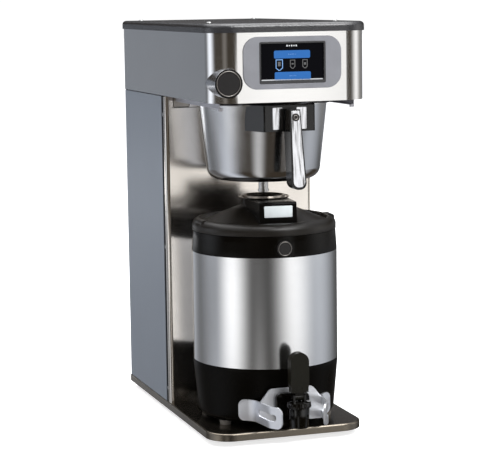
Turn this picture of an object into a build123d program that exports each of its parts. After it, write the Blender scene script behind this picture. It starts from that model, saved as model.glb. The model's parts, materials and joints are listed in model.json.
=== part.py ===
"""Commercial single coffee brewer with a slide-out funnel and an insulated server.

Millimetres, +Z up, -Y is the operator's side.  The origin is on the counter, at the
centre of the brewer's footprint.  Every separate piece is written to its own STEP file.
"""
from build123d import *
import math
import os

# ------------------------------------------------------------------ driving dimensions
SHEET = 1.5                 # casing sheet thickness
FOOT_HEIGHT = 11.5          # counter to the underside of the base
BODY_WIDTH = 288.2          # over the side panels
REAR_Y = 300.0              # outer face of the rear panel
HEAD_FRONT_Y = -290.0       # outer face of the head
HEAD_CORNER_R = 44.5        # vertical front corners of the head
HEAD_BOTTOM_Z = 607.7
HEAD_TOP_Z = 728.0
LID_TOP_Z = 744.0
LID_OVERHANG = 3.5
SCREW_DOME = 2.2            # height of the lid screws above the lid
BASE_WIDTH = 290.8
BASE_FRONT_Y = -263.3
BASE_TOP_Z = 25.0
BASE_CORNER_R = 44.0
TRUNK_FRONT_Y = 7.8         # bright front cover of the column
TRUNK_FLANGE_Y = 22.0       # end of the bright flanges of the front cover
TRUNK_SIDE_Y = 34.0         # front edge of the side panels
TRUNK_TOP_Z = HEAD_BOTTOM_Z - 1.6
BREW_Y = -128.5             # axis of funnel, spray head and server

FUNNEL_TOP_R = 116.4
FUNNEL_TOP_Z = 599.0
FUNNEL_BOTTOM_R = 101.2
FUNNEL_BOTTOM_Z = 462.0
FUNNEL_RIM_R = 122.5
NOZZLE_BOTTOM_Z = 436.0

SERVER_R = 132.5
SERVER_BASE_TOP_Z = 133.9
SHELL_TOP_Z = 332.3
COLLAR_TOP_Z = 369.5
LID_BOTTOM_Z = 370.3
LINER_R = 116.0
LINER_BOTTOM_Z = 40.0
FAUCET_REACH = 176.5        # server axis to faucet axis
SHANK_Z = 58.0

HALF_BODY = BODY_WIDTH / 2
HALF_BASE = BASE_WIDTH / 2
FAUCET_Y = BREW_Y - FAUCET_REACH
RUNNING = 0.3               # gap between bodies that slide past each other

os.makedirs("parts", exist_ok=True)


# ------------------------------------------------------------------ helpers
def block(x0, x1, y0, y1, z0, z1):
    """Box given by its two opposite corners."""
    size = Box(x1 - x0, y1 - y0, z1 - z0)
    return Pos((x0 + x1) / 2, (y0 + y1) / 2, (z0 + z1) / 2) * size


def rod_z(r, z0, z1, x=0.0, y=0.0):
    """Upright cylinder."""
    return Pos(x, y, (z0 + z1) / 2) * Cylinder(r, z1 - z0)


def rod_y(r, y0, y1, x, z):
    """Cylinder along Y."""
    return Pos(x, (y0 + y1) / 2, z) * Rot(90, 0, 0) * Cylinder(r, y1 - y0)


def rod_x(r, x0, x1, y, z):
    """Cylinder along X."""
    return Pos((x0 + x1) / 2, y, z) * Rot(0, 90, 0) * Cylinder(r, x1 - x0)


def hex_y(across, y0, y1, x, z):
    """Hexagon bar along Y."""
    bar = extrude(RegularPolygon(across / 2, 6, major_radius=False), y1 - y0)
    return Pos(x, y1, z) * Rot(90, 0, 0) * bar


def hex_z(across, z0, z1, x, y):
    """Upright hexagon bar."""
    return Pos(x, y, z0) * extrude(RegularPolygon(across / 2, 6, major_radius=False), z1 - z0)


def turned(points, x=0.0, y=0.0):
    """Solid of revolution about the upright axis at x, y from radius, height points."""
    outline = make_face(Plane.XZ * Polyline(*points, close=True))
    return Pos(x, y, 0) * revolve(outline, Axis.Z, 360)


def circles_at(solid, z, r, tolerance=0.3):
    """Horizontal circular edges of one radius at one height."""
    found = []
    for edge in solid.edges().filter_by(GeomType.CIRCLE):
        middle = edge.arc_center
        if abs(middle.Z - z) < tolerance and abs(edge.radius - r) < tolerance:
            found.append(edge)
    return found


def hose(points, bend, r):
    """Round tube or rod along straight runs joined by tangent arcs."""
    path = FilletPolyline(*points, radius=bend) if len(points) > 2 else Polyline(*points)
    return sweep(Plane(path ^ 0) * Circle(r), path=path)


def rounded_plan(half_width, front_y, back_y, front_r):
    """Plan outline with two rounded front corners."""
    plan = Pos(0, (front_y + back_y) / 2) * Rectangle(2 * half_width, back_y - front_y)
    corners = plan.vertices().group_by(Axis.Y)[0]
    return fillet(corners, front_r)


def save(name, *solids):
    """Write one node."""
    items = []
    for solid in solids:
        items.extend(solid.solids())
    shape = items[0] if len(items) == 1 else Compound(children=items)
    export_step(shape, f"parts/{name}.step")


# ------------------------------------------------------------------ base and column
def base_plate():
    outer = extrude(rounded_plan(HALF_BASE, BASE_FRONT_Y, REAR_Y, BASE_CORNER_R), BASE_TOP_Z - FOOT_HEIGHT)
    outer = fillet(outer.faces().sort_by(Axis.Z)[-1].edges(), 3.0)
    inner_plan = rounded_plan(HALF_BASE - SHEET, BASE_FRONT_Y + SHEET, REAR_Y - SHEET, BASE_CORNER_R - SHEET)
    inner = extrude(inner_plan, BASE_TOP_Z - FOOT_HEIGHT - SHEET)
    return Pos(0, 0, FOOT_HEIGHT) * (outer - inner)


FOOT_X = 104.0
FOOT_FRONT_Y = -160.0
FOOT_REAR_Y = 268.0
FOOT_SPOTS = [(x, y) for x in (-FOOT_X, FOOT_X) for y in (FOOT_FRONT_Y, FOOT_REAR_Y)]
STUD_R = 4.0


def foot(x, y):
    """Moulded levelling foot with its stud up to the underside of the base."""
    pad = Pos(x, y, FOOT_HEIGHT / 2) * Cone(13, 15, FOOT_HEIGHT)
    under_pan = BASE_TOP_Z - SHEET
    return pad + rod_z(STUD_R, FOOT_HEIGHT, under_pan, x, y) + hex_z(13, under_pan - 6, under_pan, x, y)


SIDE_SCREW_Z = (51.0, 322.0, 572.0)
SIDE_SCREW_Y = 28.0
JOGGLE = 2.0                # how far the flanges step in behind the side panels' front edge


def trunk_side(side):
    """Flat side panel of the column with an inward return along its front edge."""
    x0, x1 = sorted((side * HALF_BODY, side * (HALF_BODY - SHEET)))
    skin = block(x0, x1, TRUNK_SIDE_Y, REAR_Y - SHEET, BASE_TOP_Z, TRUNK_TOP_Z)
    r0, r1 = sorted((side * (HALF_BODY - SHEET), side * (HALF_BODY - 14)))
    fold = block(r0, r1, TRUNK_SIDE_Y, TRUNK_SIDE_Y + SHEET, BASE_TOP_Z, TRUNK_TOP_Z)
    return skin + fold


HATCH = (-128.0, -97.8, 587.0, 603.8)     # x low, x high, z low, z high


def trunk_front_cover():
    """U-shaped bright cover: front face, two rounded corners, two flanges that step in to a screwed ledge."""
    height = TRUNK_TOP_Z - BASE_TOP_Z
    outer = extrude(rounded_plan(HALF_BODY, TRUNK_FRONT_Y, TRUNK_FLANGE_Y, 7.0), height)
    inner_plan = rounded_plan(HALF_BODY - SHEET, TRUNK_FRONT_Y + SHEET, TRUNK_FLANGE_Y + 5, 5.5)
    cover = Pos(0, 0, BASE_TOP_Z) * (outer - extrude(inner_plan, height))
    x0, x1, z0, z1 = HATCH
    cover -= block(x0 + 2, x1 - 2, TRUNK_FRONT_Y - 2, TRUNK_FRONT_Y + 4, z0 + 2, z1 - 2)
    for side in (-1, 1):
        s0, s1 = sorted((side * (HALF_BODY - JOGGLE - SHEET), side * HALF_BODY))
        l0, l1 = sorted((side * (HALF_BODY - JOGGLE - SHEET), side * (HALF_BODY - JOGGLE)))
        cover += block(s0, s1, TRUNK_FLANGE_Y - SHEET, TRUNK_FLANGE_Y, BASE_TOP_Z, TRUNK_TOP_Z)
        cover += block(l0, l1, TRUNK_FLANGE_Y - SHEET, TRUNK_SIDE_Y - RUNNING, BASE_TOP_Z, TRUNK_TOP_Z)
        for z in SIDE_SCREW_Z:
            cover -= rod_x(1.6, s0 - 1, s1 + 1, SIDE_SCREW_Y, z)
    return cover


def side_screw(side, z):
    """Low screw through the ledge of the front cover."""
    seat = HALF_BODY - JOGGLE
    x0, x1 = sorted((side * (seat - 8), side * seat))
    shank = rod_x(1.6, x0, x1, SIDE_SCREW_Y, z)
    h0, h1 = sorted((side * seat, side * (seat + 1.5)))
    return shank + rod_x(3.4, h0, h1, SIDE_SCREW_Y, z)


def front_hatch():
    """Small snap-in cover high on the front of the column."""
    x0, x1, z0, z1 = HATCH
    face = block(x0, x1, TRUNK_FRONT_Y - 1.2, TRUNK_FRONT_Y, z0, z1)
    plug = block(x0 + 2, x1 - 2, TRUNK_FRONT_Y, TRUNK_FRONT_Y + 3, z0 + 2, z1 - 2)
    return face + plug


INLET_X, INLET_Z = 92.0, 74.0
GLAND_X, GLAND_Z = -92.0, 74.0
SWITCH_X, SWITCH_Z = -92.0, 128.0
SWITCH_W, SWITCH_H = 22.0, 30.0
VENT_ROWS = 9
VENT_PITCH = 14.0


def rear_panel():
    panel = block(-HALF_BODY + SHEET, HALF_BODY - SHEET, REAR_Y - SHEET, REAR_Y, BASE_TOP_Z, HEAD_TOP_Z - 0.5)
    for row in range(VENT_ROWS):
        for x in (-62.0, 0.0, 62.0):
            slot = extrude(SlotOverall(44, 5), 10)
            panel -= Pos(x, REAR_Y + 4, 300 + row * VENT_PITCH) * Rot(90, 0, 0) * slot
    panel -= rod_y(9.0, REAR_Y - 5, REAR_Y + 5, INLET_X, INLET_Z)
    panel -= rod_y(10.0, REAR_Y - 5, REAR_Y + 5, GLAND_X, GLAND_Z)
    half_w = SWITCH_W / 2
    half_h = SWITCH_H / 2
    panel -= block(SWITCH_X - half_w, SWITCH_X + half_w, REAR_Y - 5, REAR_Y + 5,
                   SWITCH_Z - half_h, SWITCH_Z + half_h)
    return panel


# ------------------------------------------------------------------ head
SCREEN_Z = 675.5            # centre height of the touch screen
BEZEL_W, BEZEL_H, BEZEL_R = 179.5, 90.0, 26.0
WINDOW_W, WINDOW_H = 121.0, 72.0
GLASS_W, GLASS_H = 115.0, 63.5
BEZEL_PROUD = 2.2
BADGE_X, BADGE_Z, BADGE_R = -119.2, 642.4, 24.8
BADGE_DISC_R = 22.4
BADGE_FACE_Y = -302.0
LID_SCREW_SPOTS = [(-118.0, 262.0), (118.0, 262.0), (-118.0, -190.0), (118.0, -190.0)]


def head_wrap():
    """One sheet bent round the left side, the front and the right side of the head."""
    height = HEAD_TOP_Z - HEAD_BOTTOM_Z
    outer = extrude(rounded_plan(HALF_BODY, HEAD_FRONT_Y, REAR_Y, HEAD_CORNER_R), height)
    inner_plan = rounded_plan(HALF_BODY - SHEET, HEAD_FRONT_Y + SHEET, REAR_Y + 5, HEAD_CORNER_R - SHEET)
    wrap = Pos(0, 0, HEAD_BOTTOM_Z) * (outer - extrude(inner_plan, height))
    wrap -= block(-WINDOW_W / 2 - 8, WINDOW_W / 2 + 8, HEAD_FRONT_Y - 5, HEAD_FRONT_Y + 5,
                  SCREEN_Z - WINDOW_H / 2 - 4, SCREEN_Z + WINDOW_H / 2 + 4)
    wrap -= rod_y(BADGE_R, HEAD_FRONT_Y - 10, HEAD_FRONT_Y + 44, BADGE_X, BADGE_Z)
    return wrap


FLOOR_Z = 609.0
SPRAY_HOLE_R = 14.0


def head_floor():
    """Underside of the head, with a short upright edge all round."""
    depth = 18.0
    plan = rounded_plan(HALF_BODY - SHEET, HEAD_FRONT_Y + SHEET, TRUNK_FRONT_Y, HEAD_CORNER_R - SHEET)
    inner = rounded_plan(HALF_BODY - 2 * SHEET, HEAD_FRONT_Y + 2 * SHEET, TRUNK_FRONT_Y - SHEET,
                         HEAD_CORNER_R - 2 * SHEET)
    pan = Pos(0, 0, FLOOR_Z) * extrude(plan, depth)
    pan -= Pos(0, 0, FLOOR_Z + SHEET) * extrude(inner, depth)
    pan -= rod_z(SPRAY_HOLE_R, FLOOR_Z - 1, FLOOR_Z + 3, 0, BREW_Y)
    pan -= rod_y(BADGE_R, HEAD_FRONT_Y - 10, HEAD_FRONT_Y + 44, BADGE_X, BADGE_Z)
    return pan


RAIL_OUTER_X = 125.0
RAIL_FRONT_Y = -262.0
RAIL_REAR_Y = 4.0
RAIL_TAB = 5.5              # depth of the tab at the front end of each rail


def funnel_rail(side):
    """L-shaped channel that carries one edge of the funnel's rim."""
    w0, w1 = sorted((side * (RAIL_OUTER_X - SHEET), side * RAIL_OUTER_X))
    web = block(w0, w1, RAIL_FRONT_Y, RAIL_REAR_Y, FUNNEL_TOP_Z - RUNNING - SHEET, FLOOR_Z)
    l0, l1 = sorted((side * (FUNNEL_TOP_R + 1.2), side * RAIL_OUTER_X))
    lip = block(l0, l1, RAIL_FRONT_Y, RAIL_REAR_Y, FUNNEL_TOP_Z - RUNNING - SHEET, FUNNEL_TOP_Z - RUNNING)
    t0, t1 = sorted((side * (RAIL_OUTER_X - 7), side * RAIL_OUTER_X))
    tab = block(t0, t1, RAIL_FRONT_Y, RAIL_FRONT_Y + 5, FUNNEL_TOP_Z - RAIL_TAB, FUNNEL_TOP_Z - RUNNING - SHEET)
    return web + lip + tab


def top_lid():
    """Moulded lid: a skirt that overhangs the panels and a heavily rounded top edge."""
    half = HALF_BODY + LID_OVERHANG
    front = HEAD_FRONT_Y - LID_OVERHANG
    back = REAR_Y + LID_OVERHANG
    height = LID_TOP_Z - HEAD_TOP_Z
    outer = extrude(rounded_plan(half, front, back, HEAD_CORNER_R + LID_OVERHANG), height)
    rear_corners = outer.edges().filter_by(Axis.Z).group_by(Axis.Y)[-1]
    outer = fillet(rear_corners, 8.0)
    outer = fillet(outer.faces().sort_by(Axis.Z)[-1].edges(), 7.5)
    inner_plan = rounded_plan(half - 2.5, front + 2.5, back - 2.5, HEAD_CORNER_R + LID_OVERHANG - 2.5)
    inner = extrude(inner_plan, height - 6)
    lid = Pos(0, 0, HEAD_TOP_Z) * (outer - inner)
    for x, y in LID_SCREW_SPOTS:
        lid -= rod_z(2.1, HEAD_TOP_Z, LID_TOP_Z + 1, x, y)
    return lid


def lid_screw(x, y):
    """Domed screw through the lid."""
    shank = rod_z(2.0, HEAD_TOP_Z - 6, LID_TOP_Z, x, y)
    profile = [(0, 0), (4.8, 0), (4.6, 0.5), (4.0, 0.75), (2.4, 0.95), (0, 1.0)]
    dome = turned([(r, LID_TOP_Z + SCREW_DOME * share) for r, share in profile], x, y)
    return shank + dome


def plate_y(width, height, corner, y0, y1, x, z):
    """Rounded rectangular plate facing the operator."""
    face = RectangleRounded(width, height, corner)
    return Pos(x, y1, z) * Rot(90, 0, 0) * extrude(face, y1 - y0)


def screen_bezel():
    bezel = plate_y(BEZEL_W, BEZEL_H, BEZEL_R, HEAD_FRONT_Y - BEZEL_PROUD, HEAD_FRONT_Y, 0, SCREEN_Z)
    front_edges = bezel.faces().sort_by(Axis.Y)[0].edges()
    bezel = fillet(front_edges, 1.0)
    bezel -= plate_y(WINDOW_W, WINDOW_H, 3, HEAD_FRONT_Y - 5, HEAD_FRONT_Y + 5, 0, SCREEN_Z)
    return bezel


def screen_frame():
    """Sloping inner frame between the bezel and the glass."""
    back = HEAD_FRONT_Y + 6
    front = HEAD_FRONT_Y - BEZEL_PROUD + 0.2
    frame = plate_y(WINDOW_W, WINDOW_H, 3, front, back, 0, SCREEN_Z)
    frame -= plate_y(GLASS_W, GLASS_H, 1.5, front - 1, back + 1, 0, SCREEN_Z + 1.2)
    return frame


def screen_glass():
    return plate_y(GLASS_W, GLASS_H, 1.5, HEAD_FRONT_Y + 1.0, HEAD_FRONT_Y + 3.5, 0, SCREEN_Z + 1.2)


def display_board():
    """Display module and its board, behind the glass."""
    module = plate_y(GLASS_W - 2, GLASS_H - 2, 1, HEAD_FRONT_Y + 3.5, HEAD_FRONT_Y + 10, 0, SCREEN_Z + 1.2)
    board = plate_y(150, 84, 3, HEAD_FRONT_Y + 10, HEAD_FRONT_Y + 11.6, 0, SCREEN_Z)
    socket = block(-30, 30, HEAD_FRONT_Y + 11.6, HEAD_FRONT_Y + 20, SCREEN_Z - 38, SCREEN_Z - 28)
    return module + board + socket


def badge_post():
    """Round post let into the left front corner of the head."""
    post = rod_y(BADGE_R, BADGE_FACE_Y, HEAD_FRONT_Y + 40, BADGE_X, BADGE_Z)
    rim = post.faces().sort_by(Axis.Y)[0].edges()
    post = fillet(rim, 1.2)
    post -= rod_y(BADGE_DISC_R, BADGE_FACE_Y - 1, BADGE_FACE_Y + 2.0, BADGE_X, BADGE_Z)
    keep = Pos(0, 0, HEAD_BOTTOM_Z) * extrude(
        rounded_plan(HALF_BODY, BADGE_FACE_Y - 10, REAR_Y, 3.0), HEAD_TOP_Z - HEAD_BOTTOM_Z)
    return post & keep


def badge_face():
    """Dark disc with a raised outer ring, set into the end of the post."""
    disc = rod_y(BADGE_DISC_R, BADGE_FACE_Y + 0.2, BADGE_FACE_Y + 2.0, BADGE_X, BADGE_Z)
    return disc - rod_y(BADGE_DISC_R - 2.2, BADGE_FACE_Y - 1, BADGE_FACE_Y + 0.8, BADGE_X, BADGE_Z)


# ------------------------------------------------------------------ inside the brewer
TANK_Y = 170.0
TANK_R = 98.0
TANK_BOTTOM_Z = 452.0
TANK_TOP_Z = 690.0
TANK_WALL = 1.2
PROBE_SPOTS = [(-55.0, 205.0), (55.0, 205.0)]
HEATER_LEGS = (-22.0, 22.0)
HEATER_Y = 150.0
FILL_X = 60.0


def tank_shelf():
    shelf = block(-HALF_BODY + SHEET, HALF_BODY - SHEET, TRUNK_SIDE_Y + 16, REAR_Y - SHEET,
                  TANK_BOTTOM_Z - 3, TANK_BOTTOM_Z)
    return shelf - rod_z(8, TANK_BOTTOM_Z - 5, TANK_BOTTOM_Z + 1, FILL_X, TANK_Y)


def tank_body():
    can = rod_z(TANK_R, TANK_BOTTOM_Z, TANK_TOP_Z, 0, TANK_Y)
    can += rod_z(TANK_R + 8, TANK_TOP_Z - 2, TANK_TOP_Z, 0, TANK_Y)
    can -= rod_z(TANK_R - TANK_WALL, TANK_BOTTOM_Z + TANK_WALL, TANK_TOP_Z + 1, 0, TANK_Y)
    return can - rod_z(5, TANK_BOTTOM_Z - 1, TANK_BOTTOM_Z + 3, FILL_X, TANK_Y)


def tank_lid():
    z0 = TANK_TOP_Z
    lid = rod_z(TANK_R + 8, z0, z0 + 2.5, 0, TANK_Y)
    for x, y in PROBE_SPOTS:
        lid -= rod_z(3.0, z0 - 1, z0 + 4, x, y)
    for x in HEATER_LEGS:
        lid -= rod_z(4.0, z0 - 1, z0 + 4, x, HEATER_Y)
    return lid


def heater_element():
    """Sheathed element bent into a hairpin, hung from the tank lid."""
    top = TANK_TOP_Z + 14
    low = TANK_BOTTOM_Z + 20
    left, right = HEATER_LEGS
    points = [(left, HEATER_Y, top), (left, HEATER_Y, low), (right, HEATER_Y, low), (right, HEATER_Y, top)]
    element = hose(points, 20.0, 4.0)
    for x in HEATER_LEGS:
        element += hex_z(16, TANK_TOP_Z + 2.5, TANK_TOP_Z + 9, x, HEATER_Y)
    return element


def probe(x, y, low):
    """Stainless probe with a hexagon head on the tank lid."""
    return rod_z(3.0, low, TANK_TOP_Z + 5, x, y) + hex_z(12, TANK_TOP_Z + 2.5, TANK_TOP_Z + 14, x, y)


def solenoid_valve(x, y, z):
    """Valve block with an upright coil."""
    body = block(x - 16, x + 16, y - 14, y + 14, z, z + 18)
    coil = rod_z(14, z + 18, z + 44, x, y)
    cap = rod_z(6, z + 44, z + 50, x, y)
    return body + coil + cap


DISPENSE_SPOT = (-28.0, 30.0, 634.0)
SPRAY_TUBE_Z = 643.0
SPRAY_R = 34.0
SPRAY_Z = 602.4


def spray_tube():
    """Tube from the dispense valve to the neck of the spray head."""
    x, y, _ = DISPENSE_SPOT
    start = y - 14
    turn = BREW_Y
    points = [(x, start, SPRAY_TUBE_Z), (x, start - 50, SPRAY_TUBE_Z), (0, start - 80, SPRAY_TUBE_Z),
              (0, turn, SPRAY_TUBE_Z), (0, turn, 618)]
    return hose(points, [14, 14, 16], 5.0)


def spray_head():
    """Perforated disc on a threaded neck."""
    disc = rod_z(SPRAY_R, SPRAY_Z, SPRAY_Z + 3.5, 0, BREW_Y)
    neck = rod_z(10.0, SPRAY_Z, 618, 0, BREW_Y)
    collar = rod_z(18.0, SPRAY_Z + 3.5, FLOOR_Z, 0, BREW_Y)
    head = disc + collar + neck
    head -= rod_z(5.0, SPRAY_Z + 5, 619, 0, BREW_Y)
    for ring_r, count in ((12.0, 6), (24.0, 12)):
        for step in range(count):
            angle = 2 * math.pi * step / count
            x = ring_r * math.cos(angle)
            y = BREW_Y + ring_r * math.sin(angle)
            head -= rod_z(1.3, SPRAY_Z - 1, SPRAY_Z + 3, x, y)
    return head


def control_board():
    """Main board on its stand-offs, on the floor of the head."""
    z = FLOOR_Z + SHEET
    board = block(50, 132, -200, -60, z + 10, z + 11.6)
    for x in (56, 126):
        for y in (-194, -66):
            board += rod_z(3, z, z + 10, x, y)
    board += block(60, 84, -180, -150, z + 11.6, z + 31)
    board += block(92, 122, -180, -120, z + 11.6, z + 23)
    board += block(60, 80, -130, -80, z + 11.6, z + 20)
    return board


def power_supply():
    case = block(-120, -40, 120, 230, BASE_TOP_Z + 155, BASE_TOP_Z + 200)
    feet = block(-132, -28, 130, 220, BASE_TOP_Z + 153, BASE_TOP_Z + 155)
    return case + feet


INLET_THREAD_R = 7.9
INLET_TIP_Y = 328.5
INLET_BORE_R = 4.0


def inlet_fitting():
    """Brass male flare fitting through the rear panel."""
    body = rod_y(8.95, 276, REAR_Y, INLET_X, INLET_Z)
    body += hex_y(24, REAR_Y, REAR_Y + 8, INLET_X, INLET_Z)
    body += rod_y(INLET_THREAD_R, REAR_Y + 8, INLET_TIP_Y - 3, INLET_X, INLET_Z)
    tip = Pos(INLET_X, INLET_TIP_Y - 1.5, INLET_Z) * Rot(-90, 0, 0) * Cone(INLET_THREAD_R, 5.5, 3)
    return body + tip - rod_y(INLET_BORE_R, 270, INLET_TIP_Y + 1, INLET_X, INLET_Z)


INLET_VALVE_Y = 258.0


def inlet_solenoid():
    body = block(INLET_X - 17, INLET_X + 17, INLET_VALVE_Y - 18, 276, INLET_Z - 14, INLET_Z + 14)
    coil = rod_z(14, INLET_Z + 14, INLET_Z + 42, INLET_X, INLET_VALVE_Y)
    return body + coil


def fill_tube():
    """Copper line from the inlet valve to the bottom of the tank."""
    start = INLET_VALVE_Y - 18
    points = [(INLET_X, start, INLET_Z), (INLET_X, start - 40, INLET_Z), (INLET_X, start - 40, 300),
              (FILL_X, TANK_Y, 360), (FILL_X, TANK_Y, TANK_BOTTOM_Z)]
    return hose(points, [18, 25, 25], 4.8)


GLAND_BORE_R = 5.0
GLAND_TIP_Y = 322.0


def cord_gland():
    """Strain-relief gland for the supply cord."""
    body = rod_y(9.95, 288, REAR_Y, GLAND_X, GLAND_Z)
    body += hex_y(27, REAR_Y, REAR_Y + 6, GLAND_X, GLAND_Z)
    body += rod_y(11.0, REAR_Y + 6, GLAND_TIP_Y, GLAND_X, GLAND_Z)
    body += hex_y(27, 282, REAR_Y - SHEET, GLAND_X, GLAND_Z)
    return body - rod_y(GLAND_BORE_R, 280, GLAND_TIP_Y + 1, GLAND_X, GLAND_Z)


ROCKER_R = 11.0
ROCKER_PIVOT_Y = REAR_Y - 6.0


def switch_housing():
    """Flanged housing of the power switch."""
    flange = block(SWITCH_X - 14, SWITCH_X + 14, REAR_Y, REAR_Y + 1.6, SWITCH_Z - 18, SWITCH_Z + 18)
    body = block(SWITCH_X - 11, SWITCH_X + 11, REAR_Y - 22, REAR_Y, SWITCH_Z - 15, SWITCH_Z + 15)
    housing = flange + body
    housing -= block(SWITCH_X - 8.3, SWITCH_X + 8.3, REAR_Y - 19, REAR_Y + 3, SWITCH_Z - 12.5, SWITCH_Z + 12.5)
    return housing - rod_x(1.55, SWITCH_X - 12, SWITCH_X + 12, ROCKER_PIVOT_Y, SWITCH_Z)


def power_rocker():
    """Rocker with its pivot pin; at rest its lower end is pressed in."""
    paddle = block(SWITCH_X - 8, SWITCH_X + 8, ROCKER_PIVOT_Y - 5, REAR_Y + 1.2, SWITCH_Z - 11, SWITCH_Z + 11)
    paddle = Pos(0, ROCKER_PIVOT_Y, SWITCH_Z) * Rot(-9, 0, 0) * Pos(0, -ROCKER_PIVOT_Y, -SWITCH_Z) * paddle
    return paddle + rod_x(1.5, SWITCH_X - 10.8, SWITCH_X + 10.8, ROCKER_PIVOT_Y, SWITCH_Z)


# ------------------------------------------------------------------ funnel
FUNNEL_WALL = 1.5
FUNNEL_FILLET = 22.0


def cone_radius(z):
    """Outer radius of the funnel's wall at a height."""
    share = (z - FUNNEL_BOTTOM_Z) / (FUNNEL_TOP_Z - FUNNEL_BOTTOM_Z)
    return FUNNEL_BOTTOM_R + share * (FUNNEL_TOP_R - FUNNEL_BOTTOM_R)


def funnel_form(offset, top):
    """Tapered cup shape with a rounded bottom edge, offset inwards."""
    low = FUNNEL_BOTTOM_Z + offset
    r_low = cone_radius(low) - offset
    r_top = cone_radius(top) - offset
    form = turned([(0, low), (r_low, low), (r_top, top), (0, top)], 0, BREW_Y)
    return fillet(circles_at(form, low, r_low), FUNNEL_FILLET - offset)


def funnel_body():
    """Spun cup with a flat outward rim that runs in the rails."""
    cup = funnel_form(0, FUNNEL_TOP_Z) - funnel_form(FUNNEL_WALL, FUNNEL_TOP_Z + 5)
    rim = rod_z(FUNNEL_RIM_R, FUNNEL_TOP_Z, FUNNEL_TOP_Z + 2, 0, BREW_Y)
    rim -= rod_z(FUNNEL_TOP_R - FUNNEL_WALL, FUNNEL_TOP_Z - 1, FUNNEL_TOP_Z + 3, 0, BREW_Y)
    return cup + rim - rod_z(8.0, FUNNEL_BOTTOM_Z - 5, FUNNEL_BOTTOM_Z + 5, 0, BREW_Y)


def funnel_nozzle():
    """Screwed-in outlet with a flange inside the cup."""
    body = rod_z(8.8, NOZZLE_BOTTOM_Z, FUNNEL_BOTTOM_Z, 0, BREW_Y)
    body += rod_z(10.2, NOZZLE_BOTTOM_Z + 1.5, NOZZLE_BOTTOM_Z + 5, 0, BREW_Y)
    body += rod_z(7.95, FUNNEL_BOTTOM_Z, FUNNEL_BOTTOM_Z + FUNNEL_WALL, 0, BREW_Y)
    body += rod_z(13, FUNNEL_BOTTOM_Z + FUNNEL_WALL, FUNNEL_BOTTOM_Z + 4, 0, BREW_Y)
    return body - rod_z(5.5, NOZZLE_BOTTOM_Z - 1, FUNNEL_BOTTOM_Z + 6, 0, BREW_Y)


WIRE_R = 1.3
BASKET_RIBS = 16


def wire_ring(radius, z):
    """Ring of round wire about the brewing axis."""
    section = Pos(radius, z) * Circle(WIRE_R)
    return Pos(0, BREW_Y, 0) * revolve(Plane.XZ * section, Axis.Z, 360)


def brew_basket():
    """Wire basket that holds the filter clear of the cup's wall."""
    low_z = FUNNEL_BOTTOM_Z + 14
    top_z = FUNNEL_TOP_Z - 12
    low_r = 76.0
    top_r = cone_radius(top_z) - FUNNEL_WALL - 3
    hub_r = 20.0
    basket = wire_ring(top_r, top_z) + wire_ring(low_r, low_z) + wire_ring(hub_r, low_z)
    lean = math.degrees(math.atan2(top_r - low_r, top_z - low_z))
    length = math.hypot(top_r - low_r, top_z - low_z)
    for step in range(BASKET_RIBS):
        turn = 360 * step / BASKET_RIBS
        rib = Pos((low_r + top_r) / 2, 0, (low_z + top_z) / 2) * Rot(0, lean, 0) * Cylinder(WIRE_R, length)
        basket += Pos(0, BREW_Y, 0) * Rot(0, 0, turn) * rib
    for step in range(BASKET_RIBS // 2):
        turn = 360 * (step + 0.5) / (BASKET_RIBS // 2)
        spoke = Pos((hub_r + low_r) / 2, 0, low_z) * Rot(0, 90, 0) * Cylinder(WIRE_R * 0.9, low_r - hub_r)
        basket += Pos(0, BREW_Y, 0) * Rot(0, 0, turn) * spoke
    return basket


BRACKET_FRONT_Y = -273.0
BRACKET_HALF_FRONT = 46.8
BRACKET_HALF_BACK = 65.0
BRACKET_BACK_Y = -222.0
BRACKET_Z0, BRACKET_Z1 = 555.5, 601.0


def bracket_hollow():
    """Space kept by the cup's wall and rim inside the bracket."""
    slope = (FUNNEL_TOP_R - FUNNEL_BOTTOM_R) / (FUNNEL_TOP_Z - FUNNEL_BOTTOM_Z)
    low = BRACKET_Z0 - 10
    cone = turned([(0, low), (cone_radius(low), low), (FUNNEL_TOP_R, FUNNEL_TOP_Z),
                   (FUNNEL_TOP_R + 20 * slope, FUNNEL_TOP_Z + 20), (0, FUNNEL_TOP_Z + 20)], 0, BREW_Y)
    return cone + rod_z(FUNNEL_RIM_R, FUNNEL_TOP_Z, FUNNEL_TOP_Z + 10, 0, BREW_Y)


def funnel_bracket():
    """Moulded block that wraps the front of the cup and carries the handle."""
    plan = make_face(Polyline((-BRACKET_HALF_BACK, BRACKET_BACK_Y), (-BRACKET_HALF_FRONT, BRACKET_FRONT_Y),
                              (BRACKET_HALF_FRONT, BRACKET_FRONT_Y), (BRACKET_HALF_BACK, BRACKET_BACK_Y),
                              close=True))
    body = Pos(0, 0, BRACKET_Z0) * extrude(plan, BRACKET_Z1 - BRACKET_Z0)
    front_posts = body.edges().filter_by(Axis.Z).group_by(Axis.Y)[0]
    body = fillet(front_posts, 3.0)
    body -= bracket_hollow()
    for side in (-1, 1):
        body -= trim_outline(side, BRACKET_FRONT_Y - 1, BRACKET_FRONT_Y + 1.2)
    return body


TRIM_INNER_X, TRIM_OUTER_X = 13.0, 31.0


def trim_outline(side, y0, y1):
    middle = side * (TRIM_INNER_X + TRIM_OUTER_X) / 2
    return plate_y(TRIM_OUTER_X - TRIM_INNER_X, 38, 1.5, y0, y1, middle, (BRACKET_Z0 + BRACKET_Z1) / 2)


def bracket_trim(side):
    """Bright plate let into the bracket beside the handle."""
    return trim_outline(side, BRACKET_FRONT_Y - 0.4, BRACKET_FRONT_Y + 1.2)


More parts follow.
